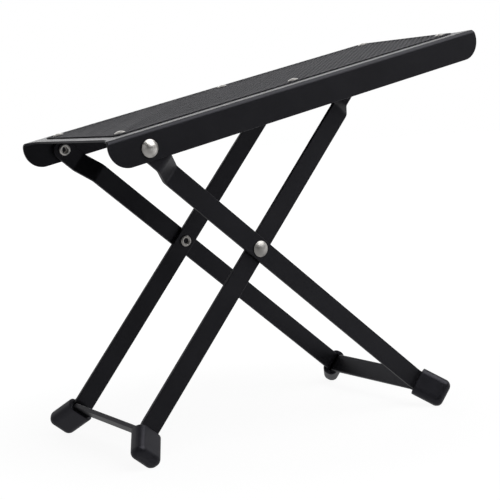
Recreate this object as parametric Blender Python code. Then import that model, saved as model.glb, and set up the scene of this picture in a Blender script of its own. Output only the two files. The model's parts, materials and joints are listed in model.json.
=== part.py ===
"""Folding guitar footrest.

A foot plate with a rubber mat tilts on two nested U frames of flat bar. The wider pivot frame is
riveted inside the plate's side flanges near its low end. The narrower prop frame crosses it on two
rivets, and the rod across its top stands under the notches of two rails below the plate. Opening
the two frames flat lowers the plate over them. Lengths are in metres and angles in degrees, +Z is
up, +X runs to the plate's high end, and the floor is at Z = 0.
"""
from math import asin, atan2, ceil, cos, degrees, hypot, pi, radians, sin, sqrt, tan

import bmesh
import bpy
from mathutils import Matrix, Vector

# Clearances
SEAT_GAP = 0.0003          # between faces that meet
SHAFT_GAP = 0.0002         # round a rivet or the rod in its hole
CUT_OVERRUN = 0.002        # how far a cutter runs past what it cuts
MERGE_DISTANCE = 0.000001

# Stance
PIVOT_LEG_ANGLE = 39.67    # pivot frame's legs to the floor
PROP_LEG_ANGLE = 50.33     # prop frame's legs to the floor
DECK_TILT = 12.33          # plate to the floor
FLOOR_FLAT = 0.0004        # depth of the flat that the feet stand on

# Foot plate: a pressed steel channel. Its top ends short of the flanges' round ends
DECK_LENGTH = 0.2704
DECK_WIDTH = 0.111
DECK_DEPTH = 0.017
DECK_SHEET = 0.0012
DECK_END_RADIUS = 0.012    # round ends of the side flanges
DECK_EDGE_RADIUS = 0.0026  # bend between top and flange
DECK_END_SETBACK = 0.0048
DECK_END_FILLET = 0.011
DECK_TIP_RADIUS = 0.0012
PIVOT_FROM_LOW_END = 0.024
PIVOT_DROP = 0.00995       # pivot axis below the plate's top

# Rubber mat
MAT_THICKNESS = 0.0007
MAT_PAST_RIVETS = 0.0063   # mat's edge to the rivets' rows
MAT_CORNER_RADIUS = 0.004
MAT_DIMPLE_DEPTH = 0.0003

# Rivets of the mat and the rails
MAT_RIVET_HEAD_RADIUS = 0.0031
MAT_RIVET_HEAD_HEIGHT = 0.0006
MAT_RIVET_SHANK_RADIUS = 0.0015
MAT_RIVET_TAIL_RADIUS = 0.0024
MAT_RIVET_TAIL_HEIGHT = 0.0007
MAT_RIVET_FROM_SIDE = 0.0164
MAT_RIVET_FROM_LOW_END = 0.0173
MAT_RIVET_FROM_HIGH_END = 0.0151

# Flat bar of both frames
BAR_WIDTH = 0.0123
BAR_THICKNESS = 0.0025
BAR_EDGE_RADIUS = 0.0004
PIVOT_TO_CROSSING = 0.097
CROSSING_TO_FOOT_BAR = 0.1511
JOG_BEND_RADIUS = 0.004
PIVOT_JOG = 0.00875        # sideways step of a pivot leg below the flange
PIVOT_JOG_START = 0.0115
PIVOT_JOG_RUN = 0.0135
PROP_JOG = 0.0062          # sideways step of a prop leg below its rod
PROP_JOG_START = 0.0142
PROP_JOG_RUN = 0.0105

# Hairpin ears at the frames' corners, which carry the rubber feet
EAR_GAP = 0.001
EAR_LENGTH = 0.0152
EAR_BEND_RADIUS = 0.006
FOOT_WALL = 0.0026
FOOT_SIDE_WALL = 0.0017
FOOT_END_WALL = 0.0045
FOOT_SET_BACK = 0.0001
FOOT_SIDE_RADIUS = 0.0044  # long edges
FOOT_END_RADIUS = 0.0042   # edges round its closed end
FOOT_RIM_RADIUS = 0.0007

# Pivot rivets
PIVOT_SHANK_RADIUS = 0.0028
PIVOT_TAIL_RADIUS = 0.0036
PIVOT_BORE_RADIUS = 0.0017
PIVOT_BORE_DEPTH = 0.0034
TOP_HEAD_RADIUS = 0.005
TOP_HEAD_HEIGHT = 0.0026
TOP_TAIL_HEIGHT = 0.002
CROSSING_HEAD_RADIUS = 0.0047
CROSSING_HEAD_HEIGHT = 0.0019
CROSSING_TAIL_HEIGHT = 0.0012

# Cross rod and notched rails
ROD_RADIUS = 0.0035
ROD_GROOVE_RADIUS = 0.0020
ROD_END_RADIUS = 0.0025
ROD_HEAD_HEIGHT = 0.0011
RAIL_SHEET = 0.0012
RAIL_WEB_CLEARANCE = 0.0012    # web to the prop frame's leg beside it
RAIL_FLANGE_MARGIN = 0.0050    # strip past the rivet row
RAIL_END_MARGIN = 0.0080       # strip past its end rivets
WEB_END_MARGIN = 0.0060        # web past its end notches
WEB_STOP_DEPTH = 0.0040        # how far the low stop reaches below the teeth
WEB_STOP_LENGTH = 0.0030
NOTCH_COUNT = 5
NOTCH_PITCH = 0.0100

# Facets
ROUND_SIDES = 24
SMALL_SIDES = 16
DOME_STEPS = 4
END_ARC_STEPS = 8
EDGE_STEPS = 3
BEND_STEPS = 5
FOOT_STEPS = 5
BEND_STEP = 15.0           # degrees of bend to a facet
EAR_TURN = 45.0            # an ear's direction to its leg
SOFT_TAIL_SHARE = 0.33     # of a rolled rivet end's wall
SHARP_SHEET = 30.0
SHARP_BAR = 35.0
SHARP_TURNED = 40.0
SHARP_SOFTENED = 60.0

# Sizes that follow from the ones above
PIVOT_TO_DECK_ANGLE = PIVOT_LEG_ANGLE + DECK_TILT
PROP_TO_DECK_ANGLE = PROP_LEG_ANGLE - DECK_TILT
CROSSING_TO_ROD = PIVOT_TO_CROSSING * sin(radians(PIVOT_TO_DECK_ANGLE)) / sin(radians(PROP_TO_DECK_ANGLE))
PIVOT_TO_ROD = (PIVOT_TO_CROSSING * cos(radians(PIVOT_TO_DECK_ANGLE))
                + CROSSING_TO_ROD * cos(radians(PROP_TO_DECK_ANGLE)))
DECK_TOP = PIVOT_DROP
DECK_UNDERSIDE = DECK_TOP - DECK_SHEET
DECK_LOW_X = -PIVOT_FROM_LOW_END
DECK_HIGH_X = DECK_LENGTH - PIVOT_FROM_LOW_END
DECK_INNER_HALF = DECK_WIDTH / 2 - DECK_SHEET
MAT_RIVET_ROW = DECK_WIDTH / 2 - MAT_RIVET_FROM_SIDE
MAT_RIVET_PITCH = (DECK_LENGTH - MAT_RIVET_FROM_LOW_END - MAT_RIVET_FROM_HIGH_END) / 2
MAT_UNDERSIDE = DECK_TOP + SEAT_GAP
MAT_TOP = MAT_UNDERSIDE + MAT_THICKNESS
RAIL_TOP = DECK_UNDERSIDE - SEAT_GAP
RAIL_UNDERSIDE = RAIL_TOP - RAIL_SHEET

PIVOT_TOP_FACE = DECK_INNER_HALF - SEAT_GAP            # outer face of a pivot leg in its flange
PIVOT_LEG_FACE = PIVOT_TOP_FACE - PIVOT_JOG
PROP_LEG_FACE = PIVOT_LEG_FACE - BAR_THICKNESS - SEAT_GAP
PROP_TOP_FACE = PROP_LEG_FACE - PROP_JOG
ROD_HALF = PROP_TOP_FACE - BAR_THICKNESS - SEAT_GAP    # shoulder inside the prop legs
WEB_FACE = PROP_TOP_FACE - BAR_THICKNESS - RAIL_WEB_CLEARANCE
TOOTH_TIP = ROD_GROOVE_RADIUS + SEAT_GAP               # teeth above the rod's groove

EAR_ARM = EAR_GAP / 2 + BAR_THICKNESS / 2              # ear's axis to an arm's centre line
EAR_HALF = EAR_GAP / 2 + BAR_THICKNESS
FOOT_LENGTH = EAR_LENGTH + SEAT_GAP + FOOT_END_WALL
FOOT_HALF_WIDTH = BAR_WIDTH / 2 + SEAT_GAP + FOOT_WALL
FOOT_HALF_DEPTH = EAR_HALF + SEAT_GAP + FOOT_SIDE_WALL


def foot_drop(leg_angle):
    """How far a rubber foot reaches below its frame's corner."""
    slope = sin(radians(leg_angle)) / sqrt(2)
    lean = cos(radians(leg_angle))
    along = (FOOT_LENGTH - FOOT_END_RADIUS + FOOT_HALF_DEPTH - FOOT_SIDE_RADIUS) * slope
    across = (FOOT_HALF_WIDTH - FOOT_SIDE_RADIUS) * lean
    return along + across + (FOOT_SIDE_RADIUS - FOOT_END_RADIUS) * hypot(slope, lean) + FOOT_END_RADIUS


CROSSING_HEIGHT = (CROSSING_TO_FOOT_BAR * sin(radians(PIVOT_LEG_ANGLE))
                   + foot_drop(PIVOT_LEG_ANGLE) - FLOOR_FLAT)
CROSSING_TO_PROP_BAR = ((CROSSING_HEIGHT + FLOOR_FLAT - foot_drop(PROP_LEG_ANGLE))
                        / sin(radians(PROP_LEG_ANGLE)))
PIVOT_HEIGHT = CROSSING_HEIGHT + PIVOT_TO_CROSSING * sin(radians(PIVOT_LEG_ANGLE))


def clear_scene():
    """Start from an empty scene."""
    for item in list(bpy.data.objects):
        bpy.data.objects.remove(item, do_unlink=True)


def finish(name, colour, roughness, metallic):
    """A Principled material of one colour."""
    made = bpy.data.materials.new(name)
    made.use_nodes = True
    shader = made.node_tree.nodes["Principled BSDF"]
    shader.inputs["Base Color"].default_value = (*colour, 1.0)
    shader.inputs["Roughness"].default_value = roughness
    shader.inputs["Metallic"].default_value = metallic
    made.diffuse_color = (*colour, 1.0)
    return made


def powder_coat(name):
    """Black satin powder coat on steel."""
    return finish(name, (0.017, 0.017, 0.019), 0.42, 0.0)


def nickel(name):
    """Bright nickel plate."""
    return finish(name, (0.72, 0.71, 0.69), 0.22, 1.0)


def rubber(name):
    """Charcoal rubber."""
    return finish(name, (0.05, 0.05, 0.055), 0.7, 0.0)


def axis_empty(name, x, z, turn):
    """An empty on a cross axis, turned about +Y by degrees."""
    empty = bpy.data.objects.new(name, None)
    empty.location = (x, 0, z)
    empty.rotation_euler = (0, radians(turn), 0)
    bpy.context.scene.collection.objects.link(empty)
    return empty


def add_object(name, bm, parent, material=None):
    """Turn a bmesh into an object under its parent empty."""
    mesh = bpy.data.meshes.new(name)
    bm.to_mesh(mesh)
    bm.free()
    made = bpy.data.objects.new(name, mesh)
    made.parent = parent
    if material:
        mesh.materials.append(material)
    bpy.context.scene.collection.objects.link(made)
    return made


def add_cutter(name, bm, parent):
    """A helper shape for a Boolean, left out of the part."""
    cutter = add_object(name, bm, parent)
    cutter.display_type = 'WIRE'
    cutter.hide_render = True
    return cutter


def boolean(target, operand, operation='DIFFERENCE'):
    """Add an exact Boolean modifier."""
    modifier = target.modifiers.new(operand.name, 'BOOLEAN')
    modifier.operation = operation
    modifier.solver = 'EXACT'
    modifier.object = operand


def round_smooth(target, limit=SHARP_TURNED):
    """Shade smooth, with edges above the limit kept sharp."""
    target.data.shade_smooth()
    target.data.set_sharp_from_angle(angle=radians(limit))


def box_mesh(low, high):
    """A box between two corners."""
    bm = bmesh.new()
    bmesh.ops.create_cube(bm, size=1)
    size = Vector(high) - Vector(low)
    middle = (Vector(high) + Vector(low)) / 2
    bmesh.ops.transform(bm, matrix=Matrix.Translation(middle) @ Matrix.Diagonal((*size, 1)), verts=bm.verts)
    return bm


def prism_mesh(outline, depth, axis):
    """Extrude a closed outline by depth along an axis, from half its depth below the plane."""
    bm = bmesh.new()
    start = axis * (-depth / 2)
    face = bm.faces.new([bm.verts.new(point + start) for point in outline])
    grown = bmesh.ops.extrude_face_region(bm, geom=[face])
    moved = [item for item in grown["geom"] if isinstance(item, bmesh.types.BMVert)]
    bmesh.ops.translate(bm, vec=axis * depth, verts=moved)
    bmesh.ops.recalc_face_normals(bm, faces=bm.faces)
    return bm


def spin_mesh(profile, sides, bm=None, centre=(0, 0)):
    """Turn (radius, height) points about a vertical line. The first and last lie on it."""
    turned = bmesh.new()
    points = [turned.verts.new((radius, 0, height)) for radius, height in profile]
    for first, second in zip(points, points[1:]):
        turned.edges.new((first, second))
    bmesh.ops.spin(turned, geom=turned.verts[:] + turned.edges[:], axis=(0, 0, 1), cent=(0, 0, 0),
                   steps=sides, angle=2 * pi, use_merge=True)
    bmesh.ops.remove_doubles(turned, verts=turned.verts, dist=MERGE_DISTANCE)
    bmesh.ops.recalc_face_normals(turned, faces=turned.faces)
    bmesh.ops.translate(turned, vec=(*centre, 0), verts=turned.verts)
    if bm is None:
        return turned
    scratch = bpy.data.meshes.new("turned")
    turned.to_mesh(scratch)
    turned.free()
    bm.from_mesh(scratch)
    bpy.data.meshes.remove(scratch)
    return bm


def dome(radius, height, steps):
    """Points from the top of a domed head to its rim, above its seat."""
    curve = (radius ** 2 + height ** 2) / (2 * height)
    sweep = asin(radius / curve)
    centre = height - curve
    return [(curve * sin(sweep * i / steps), centre + curve * cos(sweep * i / steps)) for i in range(steps + 1)]


def cross_cylinder(name, radius, parent, x=0.0):
    """A cutter along Y right across the footrest."""
    half = DECK_WIDTH / 2 + CUT_OVERRUN
    bm = spin_mesh([(0, -half), (radius, -half), (radius, half), (0, half)], ROUND_SIDES)
    bmesh.ops.rotate(bm, matrix=Matrix.Rotation(radians(90), 3, 'X'), verts=bm.verts)
    bmesh.ops.translate(bm, vec=(x, 0, 0), verts=bm.verts)
    return add_cutter(name, bm, parent)


def deck_side_outline():
    """Side view of the plate's flange: flat top and bottom, round ends."""
    radius = DECK_END_RADIUS
    centre_z = DECK_TOP - DECK_DEPTH + radius
    top_angle = degrees(asin((DECK_TOP - centre_z) / radius))
    points = []
    for i in range(END_ARC_STEPS + 1):
        angle = radians(180 - top_angle + (90 + top_angle) * i / END_ARC_STEPS)
        points.append(Vector((DECK_LOW_X + radius + radius * cos(angle), 0, centre_z + radius * sin(angle))))
    middle = (DECK_LOW_X + DECK_HIGH_X) / 2
    return points + [Vector((2 * middle - point.x, 0, point.z)) for point in reversed(points)]


def deck_channel(parent):
    """Cutter for the plate's inside: a channel right through, deepened past each end of the top."""
    low, high = DECK_LOW_X, DECK_HIGH_X
    middle, inner, radius = (low + high) / 2, DECK_INNER_HALF, DECK_END_FILLET
    below = DECK_TOP - DECK_DEPTH - CUT_OVERRUN
    rim = []
    for i in range(EDGE_STEPS + 1):
        angle = radians(90 * i / EDGE_STEPS)
        rim.append((low + DECK_END_SETBACK - radius + radius * sin(angle), inner - radius + radius * cos(angle)))
    rim += [(x, -y) for x, y in reversed(rim)]
    bm = bmesh.new()
    low_rim = [bm.verts.new((x, y, below)) for x, y in rim]
    high_rim = [bm.verts.new((2 * middle - x, y, below)) for x, y in rim]
    outside = low - radius
    low_ends = [bm.verts.new((outside, side * inner, below)) for side in (-1, 1)]
    high_ends = [bm.verts.new((2 * middle - outside, side * inner, below)) for side in (-1, 1)]
    faces = [bm.faces.new(low_rim + low_ends), bm.faces.new(high_rim + high_ends),
             bm.faces.new(low_rim + list(reversed(high_rim)))]
    grown = bmesh.ops.extrude_face_region(bm, geom=faces)["geom"]
    raised = [item for item in grown if isinstance(item, bmesh.types.BMVert)]
    bmesh.ops.translate(bm, vec=(0, 0, DECK_UNDERSIDE - below), verts=raised)
    ends = [item for item in grown if isinstance(item, bmesh.types.BMFace)
            and abs(item.calc_center_median().x - middle) > DECK_LENGTH / 4]
    grown = bmesh.ops.extrude_face_region(bm, geom=ends)["geom"]
    raised = [item for item in grown if isinstance(item, bmesh.types.BMVert)]
    bmesh.ops.translate(bm, vec=(0, 0, DECK_SHEET + CUT_OVERRUN), verts=raised)
    bmesh.ops.delete(bm, geom=ends, context='FACES_ONLY')
    bmesh.ops.recalc_face_normals(bm, faces=bm.faces)
    return add_cutter("deck_channel", bm, parent)


def rivet_places():
    """The six places of the small rivets, as (x, y, end) in the plate's frame."""
    first = DECK_LOW_X + MAT_RIVET_FROM_LOW_END
    for row in (-1, 1):
        for i in range(3):
            yield first + i * MAT_RIVET_PITCH, row * MAT_RIVET_ROW, i


def rivet_bores(parent):
    """Cutter for the six rivet holes: dimple in the mat, bore, countersink in the rail."""
    seat = MAT_TOP - MAT_DIMPLE_DEPTH
    wide = MAT_RIVET_HEAD_RADIUS + SEAT_GAP
    bore = MAT_RIVET_SHANK_RADIUS + SEAT_GAP
    sink = MAT_RIVET_TAIL_RADIUS + SEAT_GAP
    profile = [(0, MAT_TOP + CUT_OVERRUN), (wide, MAT_TOP + CUT_OVERRUN), (wide, seat), (bore, seat),
               (bore, RAIL_TOP), (sink, RAIL_UNDERSIDE), (sink, RAIL_UNDERSIDE - CUT_OVERRUN),
               (0, RAIL_UNDERSIDE - CUT_OVERRUN)]
    bm = bmesh.new()
    for x, y, _ in rivet_places():
        spin_mesh(profile, SMALL_SIDES, bm, (x, y))
    return add_cutter("rivet_bores", bm, parent)


def deck_section(parent):
    """The plate's cross section right through, with its two long bends."""
    half, overrun = DECK_WIDTH / 2, CUT_OVERRUN
    bm = box_mesh((DECK_LOW_X - overrun, -half, DECK_TOP - DECK_DEPTH - overrun),
                  (DECK_HIGH_X + overrun, half, DECK_TOP))
    top = max(bm.faces, key=lambda face: face.calc_center_median().z)
    sides = [edge for edge in top.edges if abs(edge.verts[0].co.y - edge.verts[1].co.y) < MERGE_DISTANCE]
    bmesh.ops.bevel(bm, geom=sides, offset=DECK_EDGE_RADIUS, offset_type='OFFSET',
                    segments=BEND_STEPS, profile=0.5, affect='EDGES', material=-1)
    return add_cutter("deck_section", bm, parent)


def make_deck(parent, bores):
    """The pressed foot plate."""
    bm = prism_mesh(deck_side_outline(), DECK_WIDTH + 2 * CUT_OVERRUN, Vector((0, 1, 0)))
    top = max(bm.faces, key=lambda face: face.calc_center_median().z)
    tips = [edge for edge in top.edges if abs(edge.verts[0].co.x - edge.verts[1].co.x) < MERGE_DISTANCE]
    bmesh.ops.bevel(bm, geom=tips, offset=DECK_TIP_RADIUS, offset_type='OFFSET',
                    segments=EDGE_STEPS, profile=0.5, affect='EDGES', material=-1)
    deck = add_object("deck_plate", bm, parent, powder_coat("deck_plate"))
    boolean(deck, deck_section(parent), 'INTERSECT')
    boolean(deck, bores)
    boolean(deck, cross_cylinder("deck_pivot_bore", PIVOT_SHANK_RADIUS + SHAFT_GAP, parent))
    boolean(deck, deck_channel(parent))
    round_smooth(deck, SHARP_SHEET)


def make_mat(parent, bores):
    """The rubber mat, with a dimple for each rivet."""
    rivets = [x for x, _, _ in rivet_places()]
    low, high = min(rivets) - MAT_PAST_RIVETS, max(rivets) + MAT_PAST_RIVETS
    half = MAT_RIVET_ROW + MAT_PAST_RIVETS
    bm = box_mesh((low, -half, MAT_UNDERSIDE), (high, half, MAT_TOP))
    corners = [edge for edge in bm.edges if abs((edge.verts[0].co - edge.verts[1].co).normalized().z) > 0.9]
    bmesh.ops.bevel(bm, geom=corners, offset=MAT_CORNER_RADIUS, offset_type='OFFSET',
                    segments=EDGE_STEPS, profile=0.5, affect='EDGES', material=-1)
    mat = add_object("tread_mat", bm, parent, rubber("tread_mat"))
    boolean(mat, bores)


def make_mat_rivets(parent):
    """Six domed rivets. The middle and high pairs hold the rails too, flush below."""
    seat = MAT_TOP - MAT_DIMPLE_DEPTH + SEAT_GAP
    shank, tail = MAT_RIVET_SHANK_RADIUS, MAT_RIVET_TAIL_RADIUS
    head = [(radius, seat + height) for radius, height in
            dome(MAT_RIVET_HEAD_RADIUS, MAT_RIVET_HEAD_HEIGHT, DOME_STEPS)]
    flush = [(shank, seat), (shank, RAIL_TOP), (tail, RAIL_UNDERSIDE), (0, RAIL_UNDERSIDE)]
    tail_low = RAIL_TOP - MAT_RIVET_TAIL_HEIGHT
    flanged = [(shank, seat), (shank, RAIL_TOP), (tail, RAIL_TOP), (tail, tail_low), (0, tail_low)]
    for number, (x, y, end) in enumerate(rivet_places(), 1):
        bm = spin_mesh(head + (flanged if end == 0 else flush), SMALL_SIDES)
        name = f"mat_rivet_{number}"
        rivet = add_object(name, bm, parent, nickel(name))
        rivet.location = (x, y, 0)
        round_smooth(rivet)


def web_outline():
    """Side view of a rail's web: teeth between the notches, and a deeper stop at the low end."""
    tip = TOOTH_TIP
    radius = ROD_RADIUS + SEAT_GAP
    half = sqrt(radius ** 2 - tip ** 2)
    first = PIVOT_TO_ROD
    low = first - half - WEB_STOP_LENGTH
    stop = tip - WEB_STOP_DEPTH
    points = [Vector((low, 0, RAIL_TOP)), Vector((low, 0, stop)), Vector((first - half, 0, stop))]
    sweep = atan2(half, tip)
    for number in range(NOTCH_COUNT):
        centre = first + number * NOTCH_PITCH
        for i in range(END_ARC_STEPS + 1):
            angle = -sweep + 2 * sweep * i / END_ARC_STEPS
            points.append(Vector((centre + radius * sin(angle), 0, radius * cos(angle))))
    high = first + (NOTCH_COUNT - 1) * NOTCH_PITCH + half + WEB_END_MARGIN
    points += [Vector((high, 0, tip)), Vector((high, 0, RAIL_TOP))]
    return points


def make_rail(parent, bores, side, name):
    """A notched angle under the plate: strip on the rivets, web beside the prop leg."""
    places = [x for x, _, end in rivet_places() if end > 0]
    low, high = min(places) - RAIL_END_MARGIN, max(places) + RAIL_END_MARGIN
    outer = MAT_RIVET_ROW + RAIL_FLANGE_MARGIN
    inner = WEB_FACE - RAIL_SHEET
    edges = sorted((side * inner, side * outer))
    strip = box_mesh((low, edges[0], RAIL_UNDERSIDE), (high, edges[1], RAIL_TOP))
    rail = add_object(name, strip, parent, powder_coat(name))
    web = prism_mesh(web_outline(), RAIL_SHEET, Vector((0, 1, 0)))
    bmesh.ops.translate(web, vec=(0, side * (WEB_FACE - RAIL_SHEET / 2), 0), verts=web.verts)
    boolean(rail, add_cutter(name + "_web", web, parent), 'UNION')
    boolean(rail, bores)


def walk(point, heading, moves):
    """Stations along a bent bar's centre line, as (point, heading) with headings in degrees."""
    stations = [(point.copy(), heading)]
    for kind, length, turn in moves:
        direction = Vector((cos(radians(heading)), sin(radians(heading)), 0))
        if kind == "run":
            point = point + direction * length
            stations.append((point, heading))
            continue
        side = 1 if turn > 0 else -1
        centre = point + Vector((-direction.y, direction.x, 0)) * (side * length)
        steps = ceil(abs(turn) / BEND_STEP)
        arm = point - centre
        for i in range(1, steps + 1):
            swing = Matrix.Rotation(radians(turn * i / steps), 3, 'Z')
            stations.append((centre + swing @ arm, heading + turn * i / steps))
        point, heading = stations[-1]
    return stations


def jog_moves(run, step):
    """Two equal bends and the slope between them. A positive step goes to the left."""
    side = 1 if step > 0 else -1
    lean = abs(step) - 2 * JOG_BEND_RADIUS
    span = hypot(run, lean)
    turn = side * degrees(atan2(lean, run) + asin(2 * JOG_BEND_RADIUS / span))
    slope = sqrt(span ** 2 - (2 * JOG_BEND_RADIUS) ** 2)
    return [("bend", JOG_BEND_RADIUS, turn), ("run", slope, 0), ("bend", JOG_BEND_RADIUS, -turn)]


def frame_mesh(top_face, leg_face, jog_start, jog_run, length):
    """A U frame of flat bar in its own plane: pivots on Y at X = 0, foot bar at X = length."""
    half = BAR_THICKNESS / 2
    top_y, leg_y = top_face - half, leg_face - half
    pull = EAR_BEND_RADIUS * tan(radians(EAR_TURN / 2))
    ear_start = length - EAR_ARM * sqrt(2) - pull
    ear_run = EAR_LENGTH - EAR_HALF + EAR_ARM - pull
    bar_start = leg_y - EAR_ARM * sqrt(2) - pull
    moves = [("run", BAR_WIDTH / 2 + jog_start, 0), *jog_moves(jog_run, top_y - leg_y),
             ("run", ear_start - jog_start - jog_run, 0),
             ("bend", EAR_BEND_RADIUS, -EAR_TURN), ("run", ear_run, 0), ("bend", EAR_ARM, 180),
             ("run", ear_run, 0), ("bend", EAR_BEND_RADIUS, -EAR_TURN), ("run", bar_start, 0)]
    stations = walk(Vector((-BAR_WIDTH / 2, -top_y, 0)), 0, moves)
    inner, outer = [], []
    for point, heading in stations:
        normal = Vector((-sin(radians(heading)), cos(radians(heading)), 0)) * half
        inner.append(point + normal)
        outer.append(point - normal)
    mirrored = [[Vector((p.x, -p.y, 0)) for p in reversed(edge[:-1])] for edge in (inner, outer)]
    outline = inner + mirrored[0] + list(reversed(outer + mirrored[1]))
    bm = prism_mesh(outline, BAR_WIDTH, Vector((0, 0, 1)))
    tops = [edge for edge in bm.edges
            if all(abs(vert.co.x + BAR_WIDTH / 2) < MERGE_DISTANCE for vert in edge.verts)
            and abs(edge.verts[0].co.z - edge.verts[1].co.z) < MERGE_DISTANCE]
    bmesh.ops.bevel(bm, geom=tops, offset=BAR_WIDTH / 2 - BAR_EDGE_RADIUS, offset_type='OFFSET',
                    segments=END_ARC_STEPS, profile=0.5, affect='EDGES', material=-1)
    return bm


def make_frame(name, parent, faces, jog_start, jog_run, length, bores):
    """A U frame with softened edges and its holes."""
    bm = frame_mesh(*faces, jog_start, jog_run, length)
    frame = add_object(name, bm, parent, powder_coat(name))
    edge = frame.modifiers.new("soft_edges", 'BEVEL')
    edge.width = BAR_EDGE_RADIUS
    edge.segments = 1
    edge.limit_method = 'ANGLE'
    edge.angle_limit = radians(SHARP_SOFTENED)
    for bore in bores:
        boolean(frame, bore)
    round_smooth(frame, SHARP_BAR)


def make_foot(name, parent, side, length, world):
    """A rubber foot on an ear, cut flat where it stands on the floor."""
    start = -FOOT_SET_BACK
    bm = box_mesh((start, -FOOT_HALF_DEPTH, -FOOT_HALF_WIDTH), (FOOT_LENGTH, FOOT_HALF_DEPTH, FOOT_HALF_WIDTH))
    long_edges = [edge for edge in bm.edges if abs(edge.verts[0].co.x - edge.verts[1].co.x) > MERGE_DISTANCE]
    bmesh.ops.bevel(bm, geom=long_edges, offset=FOOT_SIDE_RADIUS, offset_type='OFFSET',
                    segments=FOOT_STEPS, profile=0.5, affect='EDGES', material=-1)
    closed_end = max(bm.faces, key=lambda face: face.calc_center_median().x)
    bmesh.ops.bevel(bm, geom=list(closed_end.edges), offset=FOOT_END_RADIUS, offset_type='OFFSET',
                    segments=EDGE_STEPS, profile=0.5, affect='EDGES', material=-1)
    mouth = min(bm.faces, key=lambda face: face.calc_center_median().x)
    bmesh.ops.bevel(bm, geom=list(mouth.edges), offset=FOOT_RIM_RADIUS, offset_type='OFFSET',
                    segments=1, profile=0.5, affect='EDGES', material=-1)
    half = BAR_THICKNESS / 2
    leg_face = PIVOT_LEG_FACE if name.startswith("pivot") else PROP_LEG_FACE
    place = (Matrix.Translation((length, side * (leg_face - half), 0))
             @ Matrix.Rotation(radians(EAR_TURN * side), 4, 'Z'))
    bmesh.ops.transform(bm, matrix=place, verts=bm.verts)
    to_local = world.inverted()
    up = to_local.to_3x3() @ Vector((0, 0, 1))
    cut = bmesh.ops.bisect_plane(bm, geom=bm.verts[:] + bm.edges[:] + bm.faces[:],
                                 plane_co=to_local @ Vector((0, 0, 0)), plane_no=-up, clear_outer=True)
    rims = [item for item in cut["geom_cut"] if isinstance(item, bmesh.types.BMEdge)]
    bmesh.ops.edgeloop_fill(bm, edges=rims)
    bmesh.ops.recalc_face_normals(bm, faces=bm.faces)
    foot = add_object(name, bm, parent, rubber(name))
    depth, width = EAR_HALF + SEAT_GAP, BAR_WIDTH / 2 + SEAT_GAP
    socket = box_mesh((start - CUT_OVERRUN, -depth, -width), (EAR_LENGTH + SEAT_GAP, depth, width))
    bmesh.ops.transform(socket, matrix=place, verts=socket.verts)
    boolean(foot, add_cutter(name + "_socket", socket, parent))
    round_smooth(foot)


def make_pivot_rivet(name, parent, x, side, face, grip, head, tail_height):
    """A semi-tubular rivet across Y: domed head outside, rolled hollow end inside."""
    shank, tail, bore = PIVOT_SHANK_RADIUS, PIVOT_TAIL_RADIUS, PIVOT_BORE_RADIUS
    end = -grip - tail_height
    soft = (tail - bore) * SOFT_TAIL_SHARE
    profile = dome(*head, DOME_STEPS) + [
        (shank, 0), (shank, -grip), (tail, -grip), (tail, end + soft), (tail - soft, end),
        (bore + soft, end), (bore, end + soft), (bore, end + PIVOT_BORE_DEPTH), (0, end + PIVOT_BORE_DEPTH)]
    bm = spin_mesh(profile, ROUND_SIDES)
    bmesh.ops.rotate(bm, matrix=Matrix.Rotation(radians(-90 * side), 3, 'X'), verts=bm.verts)
    rivet = add_object(name, bm, parent, nickel(name))
    rivet.location = (x, side * face, 0)
    round_smooth(rivet)


def make_rod(parent):
    """The rod across the prop frame, grooved where the rails' teeth stand over it."""
    groove_low = WEB_FACE - RAIL_SHEET - SEAT_GAP
    groove_high = WEB_FACE + SEAT_GAP
    head_in = PROP_TOP_FACE + SEAT_GAP
    half = [(ROD_GROOVE_RADIUS, groove_low), (ROD_GROOVE_RADIUS, groove_high), (ROD_RADIUS, groove_high),
            (ROD_RADIUS, ROD_HALF), (ROD_END_RADIUS, ROD_HALF), (ROD_END_RADIUS, head_in)]
    cap = [(radius, head_in + height) for radius, height in reversed(dome(ROD_RADIUS, ROD_HEAD_HEIGHT, DOME_STEPS))]
    upper = [(ROD_RADIUS, groove_low)] + half + cap
    lower = [(radius, -height) for radius, height in reversed(upper)]
    bm = spin_mesh(lower + upper, ROUND_SIDES)
    bmesh.ops.rotate(bm, matrix=Matrix.Rotation(radians(-90), 3, 'X'), verts=bm.verts)
    rod = add_object("cross_rod", bm, parent, nickel("cross_rod"))
    rod.location = (-CROSSING_TO_ROD, 0, 0)
    round_smooth(rod)


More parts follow.
